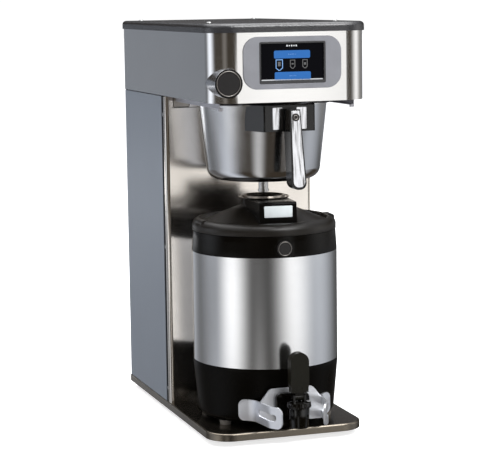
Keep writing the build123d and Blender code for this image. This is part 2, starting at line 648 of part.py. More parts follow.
HANDLE_TOP_Z, HANDLE_BOTTOM_Z = 595.0, 458.0
HANDLE_TOP_Y, HANDLE_BOTTOM_Y = -300.5, -320.0
HANDLE_DEPTH = 32.0
HANDLE_TOP_W, HANDLE_BOTTOM_W = 19.0, 28.0
HANDLE_LEAN = math.degrees(math.atan2(HANDLE_TOP_Y - HANDLE_BOTTOM_Y, HANDLE_TOP_Z - HANDLE_BOTTOM_Z))


def handle_outline(top_w, bottom_w, top_z, bottom_z):
    """Front view of the grip: wider towards a fully rounded lower end."""
    r = bottom_w / 2
    outline = make_face(Polyline((-top_w / 2, top_z), (top_w / 2, top_z), (r, bottom_z),
                                 (-r, bottom_z), close=True))
    low = outline.vertices().group_by(Axis.Y)[0]
    outline = fillet(low, r * 0.86)
    solid = extrude(outline, 400, both=True)
    return Rot(90, 0, 0) * solid


def handle_front(z):
    share = (z - HANDLE_BOTTOM_Z) / (HANDLE_TOP_Z - HANDLE_BOTTOM_Z)
    return HANDLE_BOTTOM_Y + share * (HANDLE_TOP_Y - HANDLE_BOTTOM_Y)


def side_strip(points):
    """Prism along X from a side-view outline of Y, Z points."""
    face = make_face(Plane.YZ * Polyline(*points, close=True))
    return extrude(face, 60, both=True)


def funnel_handle():
    """Hanging grip with a finger gap behind it."""
    top = HANDLE_TOP_Z
    low = HANDLE_BOTTOM_Z
    web_z = BRACKET_Z0 + 2
    side = side_strip([(handle_front(top), top), (handle_front(low), low),
                       (handle_front(low) + HANDLE_DEPTH - 6, low),
                       (handle_front(web_z) + HANDLE_DEPTH, web_z),
                       (BRACKET_FRONT_Y, web_z), (BRACKET_FRONT_Y, top)])
    grip = side & handle_outline(HANDLE_TOP_W, HANDLE_BOTTOM_W, top, low)
    return grip


PLATE_PROUD = 1.8


def handle_plate():
    """Bright cover plate on the front of the grip."""
    top = HANDLE_TOP_Z - 2
    low = HANDLE_BOTTOM_Z + 4.5
    strip = side_strip([(handle_front(top) - PLATE_PROUD, top), (handle_front(low) - PLATE_PROUD, low),
                        (handle_front(low), low), (handle_front(top), top)])
    plate = strip & handle_outline(HANDLE_TOP_W - 4.5, HANDLE_BOTTOM_W - 6.5, top, low)
    return plate - badge_disc(-5, 5)


BUTTON_Z = 581.5
BUTTON_R = 6.8


def badge_disc(back, front):
    """Disc square to the leaning face of the grip, between two heights over that face."""
    disc = Rot(90, 0, 0) * Cylinder(BUTTON_R, front - back)
    lift = Pos(0, -(back + front) / 2, 0)
    return Pos(0, handle_front(BUTTON_Z), BUTTON_Z) * Rot(-HANDLE_LEAN, 0, 0) * lift * disc


def handle_button():
    """Round button in the bright plate, flush with the grip behind it."""
    return badge_disc(0.0, PLATE_PROUD + 0.6)


# ------------------------------------------------------------------ server
def server_base():
    """Moulded foot of the server, closed below, with the faucet's bore."""
    low = BASE_TOP_Z + 8
    outer = turned([(0, low), (117, low), (124.5, low + 8), (SERVER_R, SERVER_BASE_TOP_Z - 6),
                    (SERVER_R, SERVER_BASE_TOP_Z), (0, SERVER_BASE_TOP_Z)], 0, BREW_Y)
    hollow = turned([(0, low + 5), (118, low + 5), (SERVER_R - 5, SERVER_BASE_TOP_Z - 6),
                     (SERVER_R - 5, SERVER_BASE_TOP_Z + 1), (0, SERVER_BASE_TOP_Z + 1)], 0, BREW_Y)
    bore = rod_y(SHANK_R, FAUCET_Y, BREW_Y - 90, 0, SHANK_Z)
    return outer - hollow - bore


SERVER_FOOT_X, SERVER_FOOT_Y = 96.0, 54.0
SERVER_FOOT_SPOTS = [(x, BREW_Y + y) for x in (-SERVER_FOOT_X, SERVER_FOOT_X)
                     for y in (-SERVER_FOOT_Y, SERVER_FOOT_Y)]


def server_foot(x, y):
    """Flat rubber foot; its own weight rests it on the base plate."""
    return Pos(x, y, BASE_TOP_Z + 4) * Cone(10.0, 11.0, 8)


SHANK_R = 8.0
SHELL_WALL = 1.2


def server_shell():
    tube = rod_z(SERVER_R, SERVER_BASE_TOP_Z, SHELL_TOP_Z, 0, BREW_Y)
    return tube - rod_z(SERVER_R - SHELL_WALL, SERVER_BASE_TOP_Z - 1, SHELL_TOP_Z + 1, 0, BREW_Y)


LINER_TOP_Z = 352.0


def server_liner():
    """Inner vessel with an outlet boss for the faucet's shank."""
    can = rod_z(LINER_R, LINER_BOTTOM_Z, LINER_TOP_Z, 0, BREW_Y)
    can -= rod_z(LINER_R - SHELL_WALL, LINER_BOTTOM_Z + SHELL_WALL, LINER_TOP_Z + 1, 0, BREW_Y)
    return can - rod_y(SHANK_R, FAUCET_Y, BREW_Y - 90, 0, SHANK_Z)


COLLAR_TOP_R = 130.2
COLLAR_BORE_R = 112.0
COLLAR_BADGE_X, COLLAR_BADGE_Z, COLLAR_BADGE_R = -7.0, 348.5, 14.2


def server_collar():
    """Black ring that joins the shell, the liner and the lid."""
    ring = turned([(LINER_R, SHELL_TOP_Z), (SERVER_R, SHELL_TOP_Z), (SERVER_R, SHELL_TOP_Z + 2),
                   (COLLAR_TOP_R, COLLAR_TOP_Z), (COLLAR_BORE_R, COLLAR_TOP_Z),
                   (COLLAR_BORE_R, LINER_TOP_Z), (LINER_R, LINER_TOP_Z)], 0, BREW_Y)
    return ring - rod_y(COLLAR_BADGE_R, BREW_Y - 140, BREW_Y - 128.6, COLLAR_BADGE_X, COLLAR_BADGE_Z)


def collar_badge():
    disc = rod_y(COLLAR_BADGE_R, BREW_Y - SERVER_R - 1.0, BREW_Y - 128.6, COLLAR_BADGE_X, COLLAR_BADGE_Z)
    rim = disc.faces().sort_by(Axis.Y)[0].edges()
    return fillet(rim, 0.8)


GUARD_SHEET = 3.5
GUARD_PLATE_D = 134.5
GUARD_HALF_W = 60.0
GUARD_TOP_HALF_W = 40.0
GUARD_Z0, GUARD_Z1, GUARD_TOP_Z = 41.0, 79.0, 101.0
WING_REACH = [(86.5, 100.5), (62.0, 116.0), (54.0, 177.0), (39.0, 199.0)]   # half spacing, distance forward
WING_BEND_R = 28.0
WING_CORNER_R = 11.0
WING_SLOT = (56.0, 12.5)
SLOT_REACH = 163.0              # middle of the slot, forward of the server's axis


def guard_wing(side):
    """Wing bent in an S, with rounded ends and a long slot in its forward part."""
    points = [(side * w, BREW_Y - d) for w, d in WING_REACH]
    band = trace(FilletPolyline(*points, radius=WING_BEND_R), GUARD_SHEET)
    wing = Pos(0, 0, GUARD_Z0) * extrude(band, GUARD_Z1 - GUARD_Z0)
    corners = [edge for edge in wing.edges() if abs(edge.length - GUARD_SHEET) < 0.05]
    wing = fillet(corners, WING_CORNER_R)
    (bend_x, bend_y), (end_x, end_y) = points[1:3]
    slot_y = BREW_Y - SLOT_REACH
    slot_x = bend_x + (slot_y - bend_y) / (end_y - bend_y) * (end_x - bend_x)
    angle = math.degrees(math.atan2(end_y - bend_y, end_x - bend_x))
    slot = Rot(90, 0, 0) * extrude(SlotOverall(*WING_SLOT), 14, both=True)
    return wing - Pos(slot_x, slot_y, (GUARD_Z0 + GUARD_Z1) / 2) * Rot(0, 0, angle) * slot


def faucet_guard():
    """Bent stainless guard: a centre plate behind the faucet and two forward wings."""
    low = GUARD_Z0
    half = GUARD_HALF_W
    top_half = GUARD_TOP_HALF_W
    outline = make_face(Polyline((-half, low), (half, low), (half, GUARD_Z1 - 3), (top_half, GUARD_TOP_Z),
                                 (-top_half, GUARD_TOP_Z), (-half, GUARD_Z1 - 3), close=True))
    top_corners = outline.vertices().group_by(Axis.Y)[-1]
    outline = fillet(top_corners, 11)
    centre = Pos(0, BREW_Y - GUARD_PLATE_D, 0) * Rot(90, 0, 0) * extrude(outline, GUARD_SHEET)
    guard = centre + guard_wing(-1) + guard_wing(1)
    return guard - rod_y(SHANK_R, FAUCET_Y, BREW_Y - 100, 0, SHANK_Z)


BARREL_R = 18.0
BARREL_Z0, BARREL_Z1 = 38.0, 74.0
BONNET_R = 22.0
BONNET_TOP_Z = 96.0
STEM_R = 4.0
SEAT_R = 9.0
PIVOT_Z = 91.0
STEM_TOP_Z = 80.5
SPOUT_R = 8.0


def faucet_shank():
    """Threaded shank from the liner into the faucet's barrel."""
    body = rod_y(SHANK_R - 0.05, BREW_Y - 118.5 - GUARD_SHEET - 26, BREW_Y - LINER_R + 4, 0, SHANK_Z)
    body += hex_y(22, BREW_Y - LINER_R + 2.2, BREW_Y - LINER_R + 8, 0, SHANK_Z)
    return body - rod_y(5.0, FAUCET_Y, BREW_Y - 100, 0, SHANK_Z)


def faucet_body():
    """Barrel, spout and side arm with the wide flange that clamps the guard."""
    barrel = turned([(0, BARREL_Z0), (BARREL_R - 1.8, BARREL_Z0), (BARREL_R, BARREL_Z0 + 16),
                     (BARREL_R, BARREL_Z1), (0, BARREL_Z1)], 0, FAUCET_Y)
    arm_back = BREW_Y - GUARD_PLATE_D - GUARD_SHEET - 7
    barrel += rod_y(13.0, FAUCET_Y, arm_back, 0, SHANK_Z)
    barrel += plate_y(62, 50, 10, arm_back - 1, arm_back + 7, 0, 68)
    barrel -= rod_z(SPOUT_R, BARREL_Z0 - 1, BARREL_Z0 + 12, 0, FAUCET_Y)
    barrel -= rod_z(SEAT_R + 2.5, BARREL_Z0 + 11, BARREL_Z1 + 1, 0, FAUCET_Y)
    barrel -= rod_y(SHANK_R, FAUCET_Y + 19, arm_back + 8, 0, SHANK_Z)
    return barrel - rod_y(5.0, FAUCET_Y, arm_back + 1, 0, SHANK_Z)


def faucet_bonnet():
    """Screw-on bonnet with a fork for the handle's pivot."""
    cap = turned([(STEM_R + 0.06, BARREL_Z1), (BONNET_R - 1, BARREL_Z1), (BONNET_R, BARREL_Z1 + 2),
                  (BONNET_R - 1, BARREL_Z1 + 9), (13, BARREL_Z1 + 11), (STEM_R + 0.06, BARREL_Z1 + 11)],
                 0, FAUCET_Y)
    for step in range(18):
        turn = 20 * step
        cut = Pos(BONNET_R + 0.6, 0, BARREL_Z1 + 5) * Cylinder(1.3, 12)
        cap -= Pos(0, FAUCET_Y, 0) * Rot(0, 0, turn) * cut
    for side in (-1, 1):
        x0, x1 = sorted((side * 8.4, side * 12.0))
        ear = block(x0, x1, FAUCET_Y - 5.5, FAUCET_Y + 5.5, BARREL_Z1 + 10, BONNET_TOP_Z)
        cap += ear - rod_x(2.06, x0 - 1, x1 + 1, FAUCET_Y, PIVOT_Z)
    return cap


SEAT_TOP_Z = BARREL_Z0 + 21.0


def faucet_stem():
    """Stem that the handle lifts."""
    stem = rod_z(STEM_R, SEAT_TOP_Z, STEM_TOP_Z, 0, FAUCET_Y)
    return stem - rod_z(1.2, STEM_TOP_Z - 5, STEM_TOP_Z + 1, 0, FAUCET_Y)


def seat_cup():
    """Rubber cup on the stem that closes the spout."""
    return rod_z(SEAT_R, BARREL_Z0 + 11.3, SEAT_TOP_Z, 0, FAUCET_Y)


LEVER_TOP_Z = 171.5
LEVER_HALF_W = 17.0


def faucet_handle():
    """Tall paddle with a rounded top; its root and trunnions sit in the bonnet's fork."""
    low = PIVOT_Z + 9
    paddle = plate_y(2 * LEVER_HALF_W, LEVER_TOP_Z - low, LEVER_HALF_W - 0.2,
                     FAUCET_Y - 8, FAUCET_Y + 8, 0, (LEVER_TOP_Z + low) / 2)
    paddle += block(-15.5, 15.5, FAUCET_Y - 8, FAUCET_Y + 8, low + 1, low + 28)
    root = rod_x(5.0, -8.0, 8.0, FAUCET_Y, PIVOT_Z)
    root += block(-8.0, 8.0, FAUCET_Y - 4, FAUCET_Y + 4, PIVOT_Z, low + 3)
    return paddle + root + rod_x(2.0, -12.0, 12.0, FAUCET_Y, PIVOT_Z)


# ------------------------------------------------------------------ server lid
LID_TURN = -6.0             # the lid's display looks a little to the operator's left
LUG_ANGLES = (0.0, 190.0)   # finger lugs on the rim
HUB_R = 41.5
HUB_TOP_Z = 426.0
WELL_R = 14.0
DOME = [(HUB_R, 412.5), (62, 405.5), (85, 396.5), (103, 388.5), (113, 385.0)]     # radius, height
LID_WALL = 5.0


def lid_part(shape):
    """Move a piece drawn about the Z axis on to the brewing axis, turned with the lid."""
    return Pos(0, BREW_Y, 0) * Rot(0, 0, LID_TURN) * shape


def lid_shell():
    """Rim, dome and hub of the lid in one moulding with the pour-through well."""
    z = LID_BOTTOM_Z
    rim = [(115.5, 390.0), (118, 391.5), (124, 389.5), (129, 385), (131, z + 9), (131, z), (116, z),
           (116, z + 8)]
    under = [(r - 1, height - LID_WALL) for r, height in reversed(DOME[1:])]
    well = [(WELL_R + 6, DOME[0][1] - LID_WALL), (WELL_R, DOME[0][1] - LID_WALL), (WELL_R, 413)]
    hub = [(WELL_R + 18, HUB_TOP_Z), (HUB_R, HUB_TOP_Z)]
    shell = turned(hub + DOME + rim + under + well)
    shell = fillet(circles_at(shell, DOME[0][1], HUB_R), 6.0)
    for angle in LUG_ANGLES:
        lug = fillet(Box(15, 34, 14).edges().filter_by(Axis.Y), 4.0)
        shell += Rot(0, 0, angle) * Pos(121, 0, z + 14.7) * lug
    return lid_part(shell)


def lid_ring():
    """Thin flanged drip ring round the pour-through well."""
    z = HUB_TOP_Z
    return turned([(33, z), (45.6, z), (46.6, z + 2.6), (45.6, z + 2.6), (44.2, z + 1.4), (39, z + 1.6),
                   (38, z + 5), (36.8, z + 5), (33, z + 2)], 0, BREW_Y)


def lid_gasket():
    ring = rod_z(COLLAR_BORE_R - 0.6, COLLAR_TOP_Z - 6, LID_BOTTOM_Z, 0, BREW_Y)
    ring += rod_z(115.8, LID_BOTTOM_Z, LID_BOTTOM_Z + 6, 0, BREW_Y)
    return ring - rod_z(104, COLLAR_TOP_Z - 8, LID_BOTTOM_Z + 8, 0, BREW_Y)


DISPLAY_FRONT = -98.0       # front face of the display, measured from the lid's axis
DISPLAY_X0, DISPLAY_X1 = -29.5, 37.5
DISPLAY_Z0, DISPLAY_Z1 = 386.0, 426.5
LCD_W, LCD_H, LCD_X, LCD_Z = 52.0, 21.0, 4.6, 410.0


def lid_display_housing():
    """Housing of the timer display, from the hub forward over the dome."""
    front = DISPLAY_FRONT
    low = DISPLAY_Z0 - 10
    side = side_strip([(front - 1.5, low), (front + 1.5, DISPLAY_Z1 - 3), (front + 4, DISPLAY_Z1),
                       (-20, HUB_TOP_Z - 0.5), (-20, low)])
    plan = make_face(Polyline((DISPLAY_X0, front - 5), (DISPLAY_X1, front - 5),
                              (HUB_R - 1, -15), (1 - HUB_R, -15), close=True))
    body = side & extrude(plan, HUB_TOP_Z + 20)
    dome = turned([(0, low - 5), (125, low - 5), (125, DOME[-1][1])] + DOME[::-1] + [(0, 420)])
    body = body - rod_z(HUB_R, low - 5, HUB_TOP_Z + 5) - dome
    body -= rod_z(HUB_R + 6, low - 5, DOME[0][1] + 4)
    body -= plate_y(LCD_W, LCD_H, 2, front - 5, front + 3.2, LCD_X, LCD_Z)
    body = max(body.solids(), key=lambda solid: solid.volume)
    return lid_part(body)


def lid_lcd():
    return lid_part(plate_y(LCD_W - 0.4, LCD_H - 0.4, 1.8, DISPLAY_FRONT + 1.8, DISPLAY_FRONT + 3.2,
                            LCD_X, LCD_Z))


# ------------------------------------------------------------------ write every node
SINGLE_PIECES = [
    base_plate, trunk_front_cover, front_hatch, rear_panel, head_wrap, head_floor, top_lid,
    screen_bezel, screen_frame, screen_glass, display_board, badge_post, badge_face,
    tank_shelf, tank_body, tank_lid, heater_element, spray_tube, spray_head, control_board,
    power_supply, inlet_fitting, inlet_solenoid, fill_tube, cord_gland, switch_housing, power_rocker,
    funnel_body, funnel_nozzle, brew_basket, funnel_bracket, funnel_handle, handle_plate, handle_button,
    server_base, server_shell, server_liner, server_collar, collar_badge,
    faucet_guard, faucet_shank, faucet_body, faucet_bonnet, faucet_stem, seat_cup, faucet_handle,
    lid_shell, lid_ring, lid_gasket, lid_display_housing, lid_lcd,
]
for make_piece in SINGLE_PIECES:
    save(make_piece.__name__, make_piece())

SIDES = (-1, 1)
save("feet", *[foot(x, y) for x, y in FOOT_SPOTS])
save("trunk_side_left", trunk_side(-1))
save("trunk_side_right", trunk_side(1))
side_screws = [side_screw(side, z) for side in SIDES for z in SIDE_SCREW_Z]
save("casing_screws", *side_screws, *[lid_screw(x, y) for x, y in LID_SCREW_SPOTS])
save("funnel_rails", *[funnel_rail(side) for side in SIDES])
save("level_and_temperature_probes", probe(*PROBE_SPOTS[0], 500), probe(*PROBE_SPOTS[1], 640))
save("dispense_valve", solenoid_valve(*DISPENSE_SPOT))
save("bracket_trims", *[bracket_trim(side) for side in SIDES])
save("server_feet", *[server_foot(x, y) for x, y in SERVER_FOOT_SPOTS])
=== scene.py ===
import json
import math
import bpy
from mathutils import Matrix, Vector

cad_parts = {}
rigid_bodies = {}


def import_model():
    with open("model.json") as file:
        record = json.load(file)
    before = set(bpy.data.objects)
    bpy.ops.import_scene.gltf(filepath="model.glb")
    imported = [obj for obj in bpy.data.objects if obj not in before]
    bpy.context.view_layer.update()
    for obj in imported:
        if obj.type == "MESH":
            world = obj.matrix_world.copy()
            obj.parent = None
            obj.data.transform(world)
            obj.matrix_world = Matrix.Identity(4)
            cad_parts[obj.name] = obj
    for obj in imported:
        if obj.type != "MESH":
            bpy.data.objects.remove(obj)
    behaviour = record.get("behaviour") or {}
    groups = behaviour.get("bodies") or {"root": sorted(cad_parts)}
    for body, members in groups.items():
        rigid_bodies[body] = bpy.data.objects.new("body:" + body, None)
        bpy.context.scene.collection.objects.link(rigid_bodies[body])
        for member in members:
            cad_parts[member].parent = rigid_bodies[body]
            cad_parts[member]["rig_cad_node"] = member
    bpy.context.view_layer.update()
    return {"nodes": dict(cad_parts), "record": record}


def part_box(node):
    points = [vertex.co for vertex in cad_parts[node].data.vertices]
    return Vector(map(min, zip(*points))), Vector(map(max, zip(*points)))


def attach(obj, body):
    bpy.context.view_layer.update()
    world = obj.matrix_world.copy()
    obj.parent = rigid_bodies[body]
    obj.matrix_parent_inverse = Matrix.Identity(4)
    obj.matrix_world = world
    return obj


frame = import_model()
nodes = frame["nodes"]
MM = 0.001


# ---------------------------------------------------------------- materials
GRAIN_DEPTH = 0.2 * MM      # height of the finest bumps on a surface


def tree(name):
    """New material with its node tree and its shader."""
    mat = bpy.data.materials.new(name)
    mat.use_nodes = True
    nt = mat.node_tree
    return mat, nt, nt.nodes["Principled BSDF"]


def coords(nt, scale):
    """Object coordinates in metres, scaled along X, Y and Z."""
    tex = nt.nodes.new("ShaderNodeTexCoord")
    mapping = nt.nodes.new("ShaderNodeMapping")
    mapping.inputs["Scale"].default_value = scale
    nt.links.new(tex.outputs["Object"], mapping.inputs["Vector"])
    return mapping.outputs["Vector"]


def noise(nt, scale, freq=1.0, detail=3.0, rough=0.55):
    node = nt.nodes.new("ShaderNodeTexNoise")
    node.inputs["Scale"].default_value = freq
    node.inputs["Detail"].default_value = detail
    node.inputs["Roughness"].default_value = rough
    nt.links.new(coords(nt, scale), node.inputs["Vector"])
    return node.outputs["Fac"]


NOISE_LOW, NOISE_HIGH = 0.3, 0.7        # range that holds most of a noise texture's values


def remap(nt, value, low, high):
    """Noise value stretched to run from low to high."""
    node = nt.nodes.new("ShaderNodeMapRange")
    node.inputs["From Min"].default_value = NOISE_LOW
    node.inputs["From Max"].default_value = NOISE_HIGH
    node.inputs["To Min"].default_value = low
    node.inputs["To Max"].default_value = high
    nt.links.new(value, node.inputs["Value"])
    return node.outputs["Result"]


def blend_color(nt, fac, dark, light):
    """Noise value turned into a colour between two shades."""
    ramp = nt.nodes.new("ShaderNodeValToRGB")
    ramp.color_ramp.elements[0].position = NOISE_LOW
    ramp.color_ramp.elements[0].color = (*dark, 1)
    ramp.color_ramp.elements[1].position = NOISE_HIGH
    ramp.color_ramp.elements[1].color = (*light, 1)
    nt.links.new(fac, ramp.inputs["Fac"])
    return ramp.outputs["Color"]


def bump(nt, shader, height, strength, distance, under=None):
    """Bump into the shader's normal, on top of another bump where one is given."""
    node = nt.nodes.new("ShaderNodeBump")
    node.inputs["Strength"].default_value = strength
    node.inputs["Distance"].default_value = distance
    nt.links.new(height, node.inputs["Height"])
    if under:
        nt.links.new(under, node.inputs["Normal"])
    nt.links.new(node.outputs["Normal"], shader.inputs["Normal"])
    return node.outputs["Normal"]


def shade(color, factor):
    return tuple(min(1.0, c * factor) for c in color)


def steel(name, color, rough, grain, spread=0.05, lift=0.05, strength=0.12, waves=None):
    """Brushed metal; grain is the frequency of the brushing along X, Y and Z.

    spread is the change in shade and lift the change in roughness; waves is the scale and depth of slow
    dents in the sheet.
    """
    mat, nt, bsdf = tree(name)
    fine = noise(nt, grain, 1.0, 4.0, 0.6)
    cloudy = noise(nt, (9, 9, 9), 1.0, 4.0, 0.6)
    nt.links.new(blend_color(nt, cloudy, shade(color, 1 - spread), shade(color, 1 + spread)),
                 bsdf.inputs["Base Color"])
    nt.links.new(remap(nt, fine, rough - lift, rough + lift), bsdf.inputs["Roughness"])
    bsdf.inputs["Metallic"].default_value = 1.0
    dents = None
    if waves:
        scale, depth = waves
        dents = bump(nt, bsdf, noise(nt, scale, 1.0, 1.0, 0.4), 1.0, depth)
    bump(nt, bsdf, fine, strength, GRAIN_DEPTH, dents)
    return mat


def plastic(name, color, rough, grain=900.0, strength=0.15, depth=GRAIN_DEPTH, lift=0.06, specular=0.5):
    """Moulded plastic or rubber with a fine skin and small differences in gloss."""
    mat, nt, bsdf = tree(name)
    skin = noise(nt, (1, 1, 1), grain, 3.0, 0.6)
    cloudy = noise(nt, (1, 1, 1), 14.0, 4.0, 0.6)
    nt.links.new(blend_color(nt, cloudy, shade(color, 0.88), shade(color, 1.12)), bsdf.inputs["Base Color"])
    nt.links.new(remap(nt, cloudy, rough - lift, rough + lift), bsdf.inputs["Roughness"])
    bsdf.inputs["Specular IOR Level"].default_value = specular
    bump(nt, bsdf, skin, strength, depth)
    return mat


def hammered():
    """Black moulded skin with a coarse pebbled surface that glints."""
    mat, nt, bsdf = tree("hammered_black")
    cells = nt.nodes.new("ShaderNodeTexVoronoi")
    cells.inputs["Scale"].default_value = 420.0
    nt.links.new(coords(nt, (1, 1, 1)), cells.inputs["Vector"])
    grain = noise(nt, (1, 1, 1), 700.0, 3.0, 0.65)
    both = nt.nodes.new("ShaderNodeMath")
    both.operation = "ADD"
    nt.links.new(cells.outputs["Distance"], both.inputs[0])
    nt.links.new(grain, both.inputs[1])
    tint = blend_color(nt, grain, (0.008, 0.008, 0.009), (0.024, 0.024, 0.027))
    nt.links.new(tint, bsdf.inputs["Base Color"])
    bsdf.inputs["Roughness"].default_value = 0.24
    bsdf.inputs["Specular IOR Level"].default_value = 1.0
    bump(nt, bsdf, both.outputs["Value"], 0.45, 0.5 * MM)
    return mat


def glow(name, color, level):
    """Lit area of a display."""
    mat, nt, bsdf = tree(name)
    fine = noise(nt, (1, 1, 1), 900.0, 2.0)
    tint = blend_color(nt, fine, shade(color, 0.94), color)
    bsdf.inputs["Base Color"].default_value = (*shade(color, 0.2), 1)
    nt.links.new(tint, bsdf.inputs["Emission Color"])
    bsdf.inputs["Emission Strength"].default_value = level
    bsdf.inputs["Roughness"].default_value = 0.35
    bsdf.inputs["Specular IOR Level"].default_value = 0.12
    return mat


# Frequencies of brushed grain that runs upright, front to back, side to side and round the object
UPRIGHT = (1500, 1500, 14)
ALONG = (1500, 14, 1500)
ACROSS = (14, 1500, 1500)
ROUND = (30, 30, 2200)

MATERIALS = {
    "tray_steel": steel("tray_steel", (0.25, 0.22, 0.18), 0.22, ALONG, 0.12, 0.03, 0.03),
    "bright_steel": steel("bright_steel", (0.84, 0.835, 0.825), 0.16, ROUND, 0.02, 0.02, 0.02),
    "panel_steel": steel("panel_steel", (0.66, 0.66, 0.67), 0.40, ACROSS),
    "side_grey": steel("side_grey", (0.55, 0.60, 0.67), 0.48, UPRIGHT, 0.01, 0.02, 0.03),
    "funnel_steel": steel("funnel_steel", (0.78, 0.79, 0.81), 0.15, ROUND, 0.03, 0.03, 0.06,
                          waves=((9, 9, 5), 3.0 * MM)),
    "vessel_steel": steel("vessel_steel", (0.70, 0.70, 0.70), 0.28, ROUND),
    "wire_steel": steel("wire_steel", (0.75, 0.75, 0.76), 0.15, ROUND),
    "server_steel": steel("server_steel", (0.82, 0.823, 0.83), 0.17, ROUND, 0.015, 0.02, 0.02),
    "guard_steel": steel("guard_steel", (0.90, 0.92, 0.98), 0.42, (600, 600, 600), 0.05, 0.05, 0.12),
    "lid_ring_steel": steel("lid_ring_steel", (0.42, 0.38, 0.34), 0.25, ROUND),
    "screw_steel": steel("screw_steel", (0.6, 0.6, 0.6), 0.25, ROUND),
    "chrome": steel("chrome", (0.76, 0.77, 0.80), 0.14, UPRIGHT, 0.05, 0.03, 0.08,
                    waves=((90, 90, 14), 1.2 * MM)),
    "brass": steel("brass", (0.72, 0.55, 0.28), 0.28, ROUND),
    "copper": steel("copper", (0.72, 0.42, 0.28), 0.28, UPRIGHT),
    "hammered_black": hammered(),
    "black_plastic": plastic("black_plastic", (0.012, 0.012, 0.013), 0.45, specular=0.2),
    "gloss_black": plastic("gloss_black", (0.004, 0.004, 0.004), 0.12, specular=0.35),
    "server_black": plastic("server_black", (0.0012, 0.0009, 0.0005), 0.22, 700, 0.06, specular=0.15),
    "faucet_black": plastic("faucet_black", (0.0015, 0.0012, 0.0008), 0.07, specular=0.45, lift=0.02),
    "handle_black": plastic("handle_black", (0.006, 0.0055, 0.0035), 0.30, specular=0.15),
    "badge_black": plastic("badge_black", (0.012, 0.011, 0.011), 0.32, specular=0.2),
    "bezel_grey": plastic("bezel_grey", (0.155, 0.158, 0.172), 0.5, 1100, 0.35, 0.3 * MM, specular=0.3),
    "dark_trim": plastic("dark_trim", (0.020, 0.020, 0.021), 0.22, specular=0.5),
    "screen_black": plastic("screen_black", (0.0012, 0.0012, 0.002), 0.10, strength=0.01, specular=0.03),
    "circuit_green": plastic("circuit_green", (0.03, 0.18, 0.08), 0.45),
    "white_plastic": plastic("white_plastic", (0.80, 0.80, 0.78), 0.40),
    "silicone": plastic("silicone", (0.55, 0.55, 0.52), 0.50),
    "rubber_black": plastic("rubber_black", (0.008, 0.008, 0.008), 0.65, specular=0.2),
    "rubber_grey": plastic("rubber_grey", (0.13, 0.12, 0.11), 0.60),
    "lcd_grey": plastic("lcd_grey", (0.62, 0.67, 0.68), 0.25, strength=0.02),
}

OWN_FINISH = {      # nodes whose finish differs from the rest of their slot
    "lid_shell": plastic("lid_black", (0.0060, 0.0046, 0.0032), 0.34, 700, 0.08, specular=0.4),
    "server_base": plastic("base_black", (0.0012, 0.0009, 0.0005), 0.32, 700, 0.06, specular=0.07),
    "trunk_front_cover": steel("trunk_steel", (0.84, 0.79, 0.73), 0.17, ROUND, 0.05, 0.03, 0.02,
                               waves=((11, 11, 3), 2.0 * MM)),
    "front_hatch": steel("hatch_steel", (0.78, 0.72, 0.64), 0.4, UPRIGHT),
    "badge_post": steel("post_steel", (0.62, 0.63, 0.66), 0.24, ALONG),
    "funnel_rails": steel("rail_steel", (0.80, 0.80, 0.86), 0.45, ALONG),
}

# Finishes of the pieces that are added for looks
RING_GREY = steel("ring_grey", (0.34, 0.32, 0.30), 0.35, ROUND)
# black for joints and rims, and painted shade where it fills the column's side grooves
SEAM_AND_SHADE_BLACK = plastic("seam_and_shade_black", (0.004, 0.004, 0.004), 0.6, specular=0.1)
BLUE = glow("screen_blue", (0.035, 0.18, 0.55), 0.58)
PALE_BLUE = glow("screen_pale_blue", (0.25, 0.48, 0.90), 0.7)
DIM = glow("screen_dim", (0.16, 0.16, 0.16), 0.6)
WHITE = glow("screen_white", (0.80, 0.82, 0.85), 0.7)

SOFT_EDGE = {   # width of the small rounding seen on each node's edges, in millimetres
    "screen_bezel": 0.5, "screen_frame": 0.3, "badge_post": 0.4, "badge_face": 0.3,
    "funnel_bracket": 0.8, "funnel_handle": 2.0, "handle_plate": 0.6, "handle_button": 0.5,
    "bracket_trims": 0.3, "server_base": 1.2, "server_collar": 1.4, "faucet_guard": 1.2, "faucet_body": 0.8,
    "faucet_bonnet": 0.5, "faucet_handle": 2.2, "lid_shell": 0.8, "lid_display_housing": 1.6,
    "front_hatch": 0.4, "trunk_front_cover": 0.3, "power_rocker": 0.8, "cord_gland": 0.5,
    "switch_housing": 0.6, "inlet_fitting": 0.4,
}
SHARP_ANGLE = 35            # degrees between two faces from which their edge is rounded
WELD_DISTANCE = 0.01 * MM


def finish_node(obj, material):
    """Set the material and, where the node has soft edges, round them a little."""
    mesh = obj.data
    mesh.materials.clear()
    mesh.materials.append(material)
    name = obj.get("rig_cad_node", obj.name)
    if name in SOFT_EDGE:
        weld = obj.modifiers.new("weld", "WELD")
        weld.merge_threshold = WELD_DISTANCE
        bevel = obj.modifiers.new("edges", "BEVEL")
        bevel.width = SOFT_EDGE[name] * MM
        bevel.segments = 3
        bevel.limit_method = "ANGLE"
        bevel.angle_limit = math.radians(SHARP_ANGLE)
        bevel.miter_outer = "MITER_ARC"


for part in frame["record"]["subparts"]:
    node_name = part["node"]
    finish_node(nodes[node_name], OWN_FINISH.get(node_name, MATERIALS[part["material_slot"]]))


# ---------------------------------------------------------------- shapes added for looks
def add_mesh(name, verts, faces, material, body, smooth=False):
    """New visual piece that rides on a body and has the given material."""
    mesh = bpy.data.meshes.new(name)
    mesh.from_pydata([tuple(v) for v in verts], [], faces)
    mesh.update()
    if smooth:
        mesh.shade_smooth()
    mesh.materials.append(material)
    obj = bpy.data.objects.new(name, mesh)
    bpy.context.scene.collection.objects.link(obj)
    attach(obj, body)
    return obj


